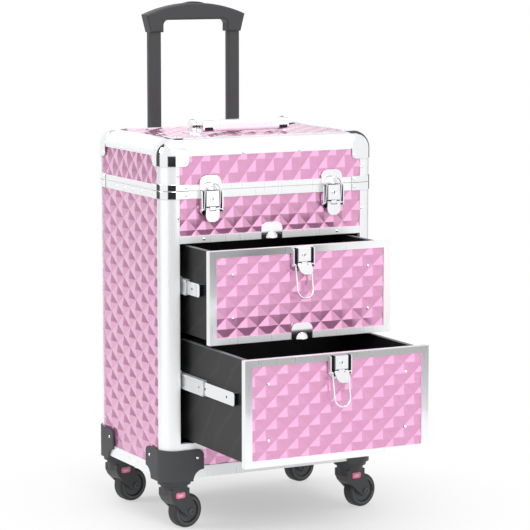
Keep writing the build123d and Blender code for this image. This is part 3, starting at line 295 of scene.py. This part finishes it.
# %% Chrome plate
# Buffed steel under bright plating: a mirror that holds hard black and white shapes, with the
# faint waves that buffing leaves.
chrome, tree, shader = finish("chrome_plate", "#ECEDEF", 1.0, 0.07)
grain(tree, shader, 9, EVEN, 0.004, 0.05, 0.12)

# %% Zinc-plated steel
# Rolled slide members in a zinc bath: pale and a little dull, with a cloudy mottle.
zinc_steel, tree, shader = finish("zinc_plated_steel", "#E4E6E7", 0.6, 0.36)
grain(tree, shader, 4, EVEN, 0.002, 0.30, 0.44)

# %% Black lining board
# Fibreboard faced with black paper: matt, so the drawers read as dark hollows, with a faint
# diagonal press mark that shows on the large sides.
black_board, tree, shader = finish("black_lined_board", "#161617", 0.0, 0.5)
grain(tree, shader, 1.2, EVEN, 0.02, 0.40, 0.58)
place = add_node(tree, "ShaderNodeTexCoord")
marks = add_node(tree, "ShaderNodeTexWave", {"Vector": place.outputs["Object"]},
                 bands_direction="DIAGONAL", Scale=1 / (90 * MM), Distortion=6.0, Detail=2.0)
faint = add_node(tree, "ShaderNodeMapRange", {"Value": marks.outputs["Fac"]}, From_Min=0.86)
tree.links.new(mixed_colour(tree, faint.outputs[0], "#151516", "#212122"), shader.inputs["Base Color"])

# %% Dark moulded nylon
# Moulded in a spark-eroded tool, whose grain breaks up the highlights of boots and grip. It is
# about 0.2 mm in life, and is drawn at 0.9 mm.
dark_plastic, tree, shader = finish("moulded_nylon", "#37383A", 0.0, 0.46)
grain(tree, shader, 0.9, EVEN, 0.05, 0.42, 0.58)

# %% Dark anodised tube
# The tow tubes are dyed dark grey. They have a soft long highlight, streaked along the draw.
dark_tube, tree, shader = finish("grey_anodised_tube", "#3F4041", 0.3, 0.36)
grain(tree, shader, 1.6, (1, 1, 0.05), 0.008, 0.38, 0.50)

# %% Rubber tyre
# Moulded and slightly scuffed: the dullest surface here, so the tyres take almost no highlight.
wheel_rubber, tree, shader = finish("wheel_rubber", "#2B2C2D", 0.0, 0.6)
grain(tree, shader, 0.8, EVEN, 0.04, 0.52, 0.70)

# %% Pink button plastic
# Glossy moulded ABS. A little light enters it, so the small buttons glow against the dark forks.
pink_button, tree, shader = finish("pink_button_plastic", "#E8789C", 0.0, 0.3,
                                   Subsurface_Weight=0.15, Subsurface_Radius=(0.004, 0.002, 0.002))
grain(tree, shader, 6, EVEN, 0.005, 0.25, 0.38)

# %% Small parts
# Hub nylon is a shade lighter than the boots. A near-black finish paints the shade in the latches'
# key slots, gaps and channels and in the carry handle's slots; behind each lever it also stands for
# the dark spring block. A pale grey finish paints the highlight along the drawer sides' top edges.
# The lens is a polished, paler pink.
hub_plastic, tree, shader = finish("hub_nylon", "#47494B", 0.0, 0.45)
grain(tree, shader, 1.0, EVEN, 0.02, 0.38, 0.52)
gap_shade_paint, tree, shader = finish("painted_gap_shade", "#121213", 0.4, 0.45)
grain(tree, shader, 1.0, EVEN, 0.01, 0.38, 0.52)
edge_highlight_paint, tree, shader = finish("painted_edge_highlight", "#6C6D6F", 0.0, 0.4)
grain(tree, shader, 1.4, EVEN, 0.02, 0.32, 0.48)
pale_lens, tree, shader = finish("pale_pink_lens", "#F3B9CB", 0.0, 0.2)
grain(tree, shader, 5, EVEN, 0.003, 0.16, 0.26)

# %% Floor paper
# Matt studio paper. It fades to its own even glow away from the case, so only the shadow near the
# wheels shows and no horizon does.
FADE_START = 0.05
FADE_END = 0.50
GLOW_AT_CENTRE = 0.45

floor_paper, tree, shader = finish("floor_paper", "#FAFAFA", 0.0, 0.8)
grain(tree, shader, 3, EVEN, 0.02)
place = add_node(tree, "ShaderNodeTexCoord")
reach = add_node(tree, "ShaderNodeVectorMath", {0: place.outputs["Object"]}, operation="LENGTH")
fade = add_node(tree, "ShaderNodeMapRange", {"Value": reach.outputs["Value"]}, From_Min=FADE_START,
                From_Max=FADE_END, To_Min=GLOW_AT_CENTRE, interpolation_type="SMOOTHSTEP")
paper_glow = add_node(tree, "ShaderNodeEmission", Strength=1.0)
blend = add_node(tree, "ShaderNodeMixShader",
                 {0: fade.outputs[0], 1: shader.outputs[0], 2: paper_glow.outputs[0]})
tree.links.new(blend.outputs[0], tree.nodes["Material Output"].inputs["Surface"])
floor.data.materials.append(floor_paper)

FINISH_OF_SLOT = {"pink_skin": pink_skin, "satin_aluminium": satin_aluminium, "chrome": chrome,
                  "zinc_steel": zinc_steel, "black_board": black_board, "dark_plastic": dark_plastic,
                  "dark_tube": dark_tube, "wheel_rubber": wheel_rubber, "pink_button": pink_button}

# %% Give every CAD node its finish
SLOT_OF = {part["node"]: part["material_slot"] for part in frame["record"]["subparts"]}
for node, piece in NODES.items():
    piece.data.materials.clear()
    piece.data.materials.append(FINISH_OF_SLOT[SLOT_OF[node]])
print("finishes", len(FINISH_OF_SLOT), "on", len(SLOT_OF), "nodes")

# %% [markdown]
# ## Copies with softened edges
# An extrusion or a sawn board never has a knife edge. The CAD solids are sharp, so a copy is
# merged into a closed mesh, its flat triangles are joined, and a narrow bevel breaks each edge.
# The bevel is what draws the thin bright line along real metal. A bevel node would only fake it.

# %% Softened copy
MERGE = 0.002 * MM
SHARP_EDGE = radians(35)
SMOOTH_BELOW = radians(14)


def softened(node, width_mm):
    """A copy of a CAD node with its edges broken. It stands for the node."""
    source = NODES[node]
    piece = source.copy()
    piece.data = source.data.copy()
    piece.name = node + "_finished"
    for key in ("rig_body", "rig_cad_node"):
        del piece[key]
    bpy.context.scene.collection.objects.link(piece)
    piece.parent = None
    activate(piece)
    bpy.ops.mesh.customdata_custom_splitnormals_clear()
    bpy.ops.object.mode_set(mode="EDIT")
    bpy.ops.mesh.select_all(action="SELECT")
    bpy.ops.mesh.remove_doubles(threshold=MERGE)
    bpy.ops.mesh.dissolve_limited(angle_limit=radians(0.3))
    bpy.ops.object.mode_set(mode="OBJECT")
    bevel = piece.modifiers.new("broken_edge", "BEVEL")
    bevel.width = width_mm * MM
    bevel.segments = 2
    bevel.limit_method = "ANGLE"
    bevel.angle_limit = SHARP_EDGE
    bpy.ops.object.modifier_apply(modifier=bevel.name)
    bpy.ops.object.shade_smooth_by_angle(angle=SMOOTH_BELOW)
    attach(piece, BODY_OF[node])
    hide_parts(node)
    return piece


for node, width in (("case_rails", 0.45), ("lid_rails", 0.4), ("corner_posts", 0.3),
                    ("case_corner_braces", 0.5), ("lid_corner_plates", 0.5),
                    ("top_drawer_front_frame", 0.4), ("bottom_drawer_front_frame", 0.4),
                    ("top_drawer_box", 0.6), ("bottom_drawer_box", 0.6)):
    piece = softened(node, width)
    print(piece.name, len(piece.data.polygons), "faces")

# %% [markdown]
# ## Embossed boards
# The skin is pressed between rollers into a lattice of low pyramids. Each pyramid is a cone with
# four sides, repeated by two arrays and filled in by one copy shifted half a pitch both ways. A
# small bevel rounds every crease, as foil never folds sharply. The sheet is then cut to its board
# with four bisects, and its rim is pulled back to give the board's thickness. Modelling one tile
# and repeating it keeps the crossings exact, which a displacement map would blur.

# %% Sheet of pyramids
RELIEF = 1.95 * MM          # from valley to peak, which stays just under the frame
CREASE = 0.45 * MM          # rounding of the folds


def pyramid_sheet(name, half_u, half_v, first_u, first_v, width, height):
    """A flat sheet of pyramids, at least as large as the board, with its creases rounded."""
    deselect()
    bpy.ops.mesh.primitive_cone_add(vertices=4, radius1=1, radius2=0, depth=1, end_fill_type="NOTHING",
                                    location=(first_u, first_v, RELIEF / 2),
                                    scale=(half_u, half_v, RELIEF))
    sheet = bpy.context.object
    sheet.name = name
    activate(sheet)
    bpy.ops.object.transform_apply(location=True, rotation=True, scale=True)
    for axis, pitch, span in ((0, 2 * half_u, width), (1, 2 * half_v, height)):
        repeat = sheet.modifiers.new("repeat", "ARRAY")
        repeat.use_relative_offset = False
        repeat.use_constant_offset = True
        repeat.constant_offset_displace = [pitch if i == axis else 0 for i in range(3)]
        repeat.count = ceil(span / pitch) + 3
        bpy.ops.object.modifier_apply(modifier=repeat.name)
    bpy.ops.object.mode_set(mode="EDIT")
    bpy.ops.mesh.select_all(action="SELECT")
    bpy.ops.mesh.duplicate_move(TRANSFORM_OT_translate={"value": (half_u, half_v, 0)})
    bpy.ops.mesh.select_all(action="SELECT")
    bpy.ops.mesh.remove_doubles(threshold=0.01 * MM)
    bpy.ops.mesh.normals_make_consistent(inside=False)
    bpy.ops.object.mode_set(mode="OBJECT")
    fold = sheet.modifiers.new("fold", "BEVEL")
    fold.width = CREASE
    fold.segments = 2
    fold.limit_method = "ANGLE"
    fold.angle_limit = radians(3)
    bpy.ops.object.modifier_apply(modifier=fold.name)
    return sheet


# %% Board cut from the sheet
BOARD_T = 6.0 * MM


def cut(point, outward):
    """Cuts away what lies beyond a plane, in edit mode."""
    bpy.ops.mesh.select_all(action="SELECT")
    bpy.ops.mesh.bisect(plane_co=point, plane_no=outward, clear_outer=True, use_fill=False)


def cut_to_board(sheet, u0, u1, v0, v1):
    """Trims a sheet to a rectangle and pulls its rim back to close it as a board."""
    bpy.ops.object.mode_set(mode="EDIT")
    cut((u0, 0, 0), (-1, 0, 0))
    cut((u1, 0, 0), (1, 0, 0))
    cut((0, v0, 0), (0, -1, 0))
    cut((0, v1, 0), (0, 1, 0))
    bpy.ops.mesh.select_all(action="DESELECT")
    bpy.ops.mesh.select_mode(type="EDGE")
    bpy.ops.mesh.select_non_manifold(extend=False)
    bpy.ops.mesh.extrude_region_move(TRANSFORM_OT_translate={"value": (0, 0, -BOARD_T)})
    bpy.ops.transform.resize(value=(1, 1, 0), center_override=(0, 0, -BOARD_T))
    bpy.ops.mesh.edge_face_add()
    bpy.ops.mesh.select_all(action="SELECT")
    bpy.ops.mesh.normals_make_consistent(inside=False)
    bpy.ops.object.mode_set(mode="OBJECT")
    for material in (pink_skin, black_board):
        sheet.data.materials.append(material)
    for face in sheet.data.polygons:
        face.material_index = 1 if face.normal.z < -0.5 else 0


# %% Embossed board in its place
FACES = {"front": (Vector((1, 0, 0)), Vector((0, 0, 1))), "back": (Vector((-1, 0, 0)), Vector((0, 0, 1))),
         "left": (Vector((0, -1, 0)), Vector((0, 0, 1))), "right": (Vector((0, 1, 0)), Vector((0, 0, 1))),
         "top": (Vector((1, 0, 0)), Vector((0, 1, 0)))}


def embossed_board(name, node, facing, low, high, pitch, crossing):
    """One board between two corners in metres. The pitch is in mm, the crossing is a lattice point."""
    across, up = FACES[facing]
    out = across.cross(up)
    corners = [Vector(low), Vector(high)]
    u0, u1 = sorted(c.dot(across) for c in corners)
    v0, v1 = sorted(c.dot(up) for c in corners)
    surface = max(c.dot(out) for c in corners)
    start_u = crossing.dot(across)
    start_v = crossing.dot(up)
    half_u, half_v = pitch[0] / 2 * MM, pitch[1] / 2 * MM
    first_u = start_u + half_u + 2 * half_u * ((u0 - start_u) // (2 * half_u) - 1)
    first_v = start_v + 2 * half_v * ((v0 - start_v) // (2 * half_v) - 1)
    piece = pyramid_sheet(name, half_u, half_v, first_u, first_v, u1 - u0, v1 - v0)
    cut_to_board(piece, u0, u1, v0, v1)
    turn = Matrix((across, up, out)).transposed().to_4x4()
    piece.matrix_world = turn @ Matrix.Translation((0, 0, surface))
    bpy.ops.object.transform_apply(location=True, rotation=True, scale=True)
    bpy.ops.object.shade_smooth_by_angle(angle=radians(4))
    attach(piece, BODY_OF[node])
    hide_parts(node)
    print(name, len(piece.data.polygons), "faces")


# %% Boards inside a CAD node
def boards_of(node):
    """The box of each separate board in a CAD node, found by merging a copy and parting it."""
    copy = NODES[node].copy()
    copy.data = NODES[node].data.copy()
    copy.hide_viewport = False
    bpy.context.scene.collection.objects.link(copy)
    activate(copy)
    bpy.ops.object.mode_set(mode="EDIT")
    bpy.ops.mesh.select_all(action="SELECT")
    bpy.ops.mesh.remove_doubles(threshold=MERGE)
    bpy.ops.mesh.separate(type="LOOSE")
    bpy.ops.object.mode_set(mode="OBJECT")
    boxes = []
    for part in list(bpy.context.selected_objects):
        points = [v.co for v in part.data.vertices]
        boxes.append((Vector(map(min, *points)), Vector(map(max, *points))))
        bpy.data.objects.remove(part)
    return boxes


def board_in(node, direction):
    """The board of a node that lies furthest along a direction."""
    way = Vector(direction)
    return max(boards_of(node), key=lambda box: (box[0] + box[1]).dot(way))


def mm(x, y, z):
    """A point or a size in millimetres, as metres."""
    return Vector((x, y, z)) * MM


# %% Boards of the case
# The lattice pitch across and up, in mm, which isn't the same on every face of this case.
SIDE_PITCH = (44.1, 28.9)
LID_SIDE_PITCH = (34.2, 33.0)
FRONT_PITCH = (29.6, 31.4)
LID_PITCH = (29.1, 36.0)
DRAWER_PITCH = (33.5, 30.2)

for name, node, facing, way, pitch, crossing in (
        ("left_side_board", "side_panels", "left", (-1, 0, 0), SIDE_PITCH, mm(0, 25.6, 440.7)),
        ("right_side_board", "side_panels", "right", (1, 0, 0), SIDE_PITCH, mm(0, 25.6, 440.7)),
        ("back_board", "back_panel", "back", (0, 1, 0), SIDE_PITCH, mm(0, 0, 440.7)),
        ("plinth_board", "front_panels", "front", (0, 0, -1), FRONT_PITCH, mm(-1, 0, 105)),
        ("upper_front_board", "front_panels", "front", (0, 0, 1), FRONT_PITCH, mm(-60.4, 0, 435.3)),
        ("lid_left_board", "lid_wall_panels", "left", (-1, 0, 0), LID_SIDE_PITCH, mm(0, 24.0, 528.7)),
        ("lid_right_board", "lid_wall_panels", "right", (1, 0, 0), LID_SIDE_PITCH, mm(0, 24.0, 528.7)),
        ("lid_front_board", "lid_wall_panels", "front", (0, -1, 0), LID_PITCH, mm(-82.9, 0, 532.5)),
        ("lid_back_board", "lid_wall_panels", "back", (0, 1, 0), LID_PITCH, mm(0, 0, 532.5)),
        ("lid_top_board", "lid_top_panel", "top", (0, 0, 1), FRONT_PITCH, mm(0, 0, 0)),
        ("top_drawer_board", "top_drawer_front_panel", "front", (0, -1, 0), DRAWER_PITCH,
         mm(15.2, 0, 321.2)),
        ("bottom_drawer_board", "bottom_drawer_front_panel", "front", (0, -1, 0), DRAWER_PITCH,
         mm(-12.1, 0, 212.6))):
    low, high = board_in(node, way)
    embossed_board(name, node, facing, low, high, pitch, crossing)

# %% [markdown]
# ## Wheels
# A caster wheel is a hard hub with a tyre moulded round it. Hub and tyre could be spun as two
# pieces, but the CAD wheel already has the right profile as one solid. So its copy is parted by
# material where the hub ends, and a bolt head closes each end of the axle. The bolt is modelled
# once and copied.

# %% Wheels with hub and tyre
TRAIL = 19                  # from the swivel to the axle, in mm
AXLE_Z = 25
SWIVEL_X = 145
SWIVEL_Y = 96
YAW = radians(11.5)
HUB_R = 17.2 * MM
CORNERS = {"front_left": (-1, -1), "front_right": (1, -1), "back_left": (-1, 1), "back_right": (1, 1)}


def caster_point(corner, along, sideways, z_mm):
    """A point in a caster's own frame: along its trail and along its axle, in mm."""
    sx, sy = CORNERS[corner]
    x = sx * SWIVEL_X + along * cos(YAW) - sideways * sin(YAW)
    y = sy * SWIVEL_Y + along * sin(YAW) + sideways * cos(YAW)
    return mm(x, y, z_mm)


def settle(piece, name, body, material):
    """Applies a new piece's place, gives it its finish and lets it ride a body."""
    piece.name = name
    activate(piece)
    bpy.ops.object.transform_apply(location=True, rotation=True, scale=True)
    piece.data.materials.append(material)
    bpy.ops.object.shade_smooth_by_angle(angle=radians(30))
    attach(piece, body)
    return piece


def placed_copy(model, place, turn):
    """A copy of a modelled piece with its own mesh, at a place and turned."""
    piece = model.copy()
    piece.data = model.data.copy()
    piece.location = place
    piece.rotation_euler = turn
    bpy.context.scene.collection.objects.link(piece)
    return piece


def pick_faces(piece, toward):
    """Selects the faces that look along a local direction, and leaves edit mode on."""
    activate(piece)
    bpy.ops.object.mode_set(mode="EDIT")
    bpy.ops.mesh.select_mode(type="FACE")
    bpy.ops.mesh.select_all(action="DESELECT")
    bpy.ops.object.mode_set(mode="OBJECT")
    for face in piece.data.polygons:
        face.select = face.normal.dot(Vector(toward)) > 0.99
    bpy.ops.object.mode_set(mode="EDIT")


for corner in CORNERS:
    wheel = softened(corner + "_wheel", 0.3)
    wheel.data.materials.append(hub_plastic)
    middle = caster_point(corner, TRAIL, 0, AXLE_Z)
    for face in wheel.data.polygons:
        if (face.center - middle).length < HUB_R:
            face.material_index = 1
print("wheels", len(CORNERS))

# %% Axle bolts: a dished head with a socket, made from a cylinder
BOLT_OUT = 15.7             # from the wheel's middle to the bolt's, in mm

deselect()
bpy.ops.mesh.primitive_cylinder_add(vertices=36, radius=4.6 * MM, depth=1.6 * MM)
bolt_model = bpy.context.object
pick_faces(bolt_model, (0, 0, -1))
bpy.ops.mesh.inset(thickness=1.1 * MM)
bpy.ops.transform.translate(value=(0, 0, -0.25 * MM), orient_type="LOCAL")
bpy.ops.mesh.inset(thickness=1.2 * MM)
bpy.ops.mesh.extrude_region_move()
bpy.ops.transform.translate(value=(0, 0, 0.9 * MM), orient_type="LOCAL")
bpy.ops.object.mode_set(mode="OBJECT")
for corner in CORNERS:
    for side in (-1, 1):
        bolt = placed_copy(bolt_model, caster_point(corner, TRAIL, side * BOLT_OUT, AXLE_Z),
                           (radians(90 * side), 0, YAW))
        settle(bolt, f"{corner}_axle_bolt_{'in' if side < 0 else 'out'}", corner + "_caster",
               hub_plastic)
bpy.data.objects.remove(bolt_model)
print("axle bolts", 2 * len(CORNERS))

# %% [markdown]
# ## Latches
# The CAD latch has its plate, walls, lever and bail. The eye also looks for the lock: a barrel with
# a key slot, the dark gap behind the lever, and the shadowed channels beside the lock's body where
# the bail's wire runs. The key slot and the channels are near-black blocks that paint the shade in
# these hollows. The block behind the lever stands for a dark spring block and paints the shade in
# the gap around it. Paint alone could mark them, but it would lie flat when the latch is seen from
# the side. Small blocks with rounded edges catch their own light.

# %% Rounded block between two corners
def rounded_block(name, body, material, low, high, radius_mm):
    """A cube stretched between two corners, its edges rounded with a bevel."""
    low, high = mm(*low), mm(*high)
    deselect()
    bpy.ops.mesh.primitive_cube_add(size=1, location=(low + high) / 2)
    piece = bpy.context.object
    piece.scale = high - low
    activate(piece)
    bpy.ops.object.transform_apply(location=True, rotation=True, scale=True)
    round_off = piece.modifiers.new("rounded", "BEVEL")
    round_off.width = radius_mm * MM
    round_off.segments = 3
    bpy.ops.object.modifier_apply(modifier=round_off.name)
    return settle(piece, name, body, material)


# %% Lock barrel, and a near-black block that paints the shade of its key slot
deselect()
bpy.ops.mesh.primitive_cylinder_add(vertices=40, radius=3.6 * MM, depth=1.4 * MM)
barrel_model = bpy.context.object
pick_faces(barrel_model, (0, 0, 1))
bpy.ops.mesh.inset(thickness=0.5 * MM)
bpy.ops.mesh.extrude_region_move()
bpy.ops.transform.translate(value=(0, 0, -0.5 * MM), orient_type="LOCAL")
bpy.ops.object.mode_set(mode="OBJECT")


def lock_barrel(name, body, x, y, z):
    """A turned barrel with a dished face, and a near-black block across it that paints the shade of a key
    slot.
    """
    barrel = placed_copy(barrel_model, mm(x, y - 0.3, z), (radians(90), 0, 0))
    settle(barrel, name + "_barrel", body, chrome)
    rounded_block(name + "_key_slot_shade", body, gap_shade_paint, (x - 0.55, y - 0.95, z - 2.1),
                  (x + 0.55, y - 0.3, z + 2.1), 0.25)


# %% Locks, and painted shade in the gaps and channels of the four latches
# Each latch: its body, then its middle, face, plate top and lever's slot line in mm.
LATCHES = (("left_lid_latch", "case", -98, -121.0, 490.6, 468.0),
           ("right_lid_latch", "case", 98, -121.0, 490.6, 468.0),
           ("top_drawer_latch", "top_drawer", 0, -213.5, 414.2, 394.7),
           ("bottom_drawer_latch", "bottom_drawer", 0, -322.0, 277.8, 258.3))
for name, body, x, face_y, top, line in LATCHES:
    lock_barrel(name, body, x, face_y - 9.0, (top + line) / 2)
    # Behind the lever: a near-black block for the dark spring block, which also paints the shade in the
    # gap around it.
    rounded_block(name + "_spring_block_and_gap_shade", body, gap_shade_paint,
                  (x - 10.0, face_y - 4.0, line - 10.0), (x + 10.0, face_y - 1.4, line - 0.2), 0.4)
    # Beside the lock's body: near-black strips that paint the shade in the channels where the bail's wire
    # runs.
    for side in (-1, 1):
        inner, outer = sorted((x + side * 10.7, x + side * 15.2))
        rounded_block(f"{name}_channel_{'left' if side < 0 else 'right'}", body, gap_shade_paint,
                      (inner, face_y - 1.9, line - 7.5), (outer, face_y - 1.3, top - 0.8), 0.2)
bpy.data.objects.remove(barrel_model)
print("latches", len(LATCHES))

# %% [markdown]
# ## Edge highlights, slot shade and lenses
# A pale grey strip on top of each drawer box's side paints the highlight that edge catches, a
# near-black block on each of the carry handle's end pieces paints the shade in the slot where the
# arm folds, and the release buttons carry a paler lens. Each could be a change of colour on the CAD
# piece. As pieces of their own they have true edges, and they ride the same body.

# %% Pale strips that paint the highlight along the tops of the drawer boxes' sides
# Each drawer: the plane and the top of its front, in mm.
for drawer, face_y, top in (("top_drawer", -213.5, 415.9), ("bottom_drawer", -322.0, 279.5)):
    for side in (-1, 1):
        inner, outer = sorted((side * 128.2, side * 134.5))
        rounded_block(f"{drawer}_binding_{'left' if side < 0 else 'right'}", drawer,
                      edge_highlight_paint, (inner, face_y + 10.4, top - 3.4), (outer, face_y + 224.0, top - 2.4),
                      0.4)
print("edge_highlight_strips", 4)

# %% Painted shade in the carry handle's end slots, and the release buttons' lenses
# Near-black blocks paint the shade in the slots where the handle's arms fold.
for side in (-1, 1):
    inner, outer = sorted((side * 54.0, side * 67.5))
    rounded_block(f"carry_slot_shade_{'left' if side < 0 else 'right'}", "carry_handle", gap_shade_paint,
                  (inner, -42.25, 568.6), (outer, -41.2, 573.4), 0.4)
for corner in CORNERS:
    centre = caster_point(corner, 0, -16.0, 51.4)
    deselect()
    bpy.ops.mesh.primitive_uv_sphere_add(segments=24, ring_count=12, radius=1, location=centre,
                                         rotation=(0, 0, YAW))
    lens = bpy.context.object
    lens.scale = mm(5.2, 0.8, 2.5)
    settle(lens, corner + "_release_lens", corner + "_release", pale_lens)
print("carry slot shades", 2, "lenses", len(CORNERS))

# %% Sizes and finish
low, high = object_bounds()
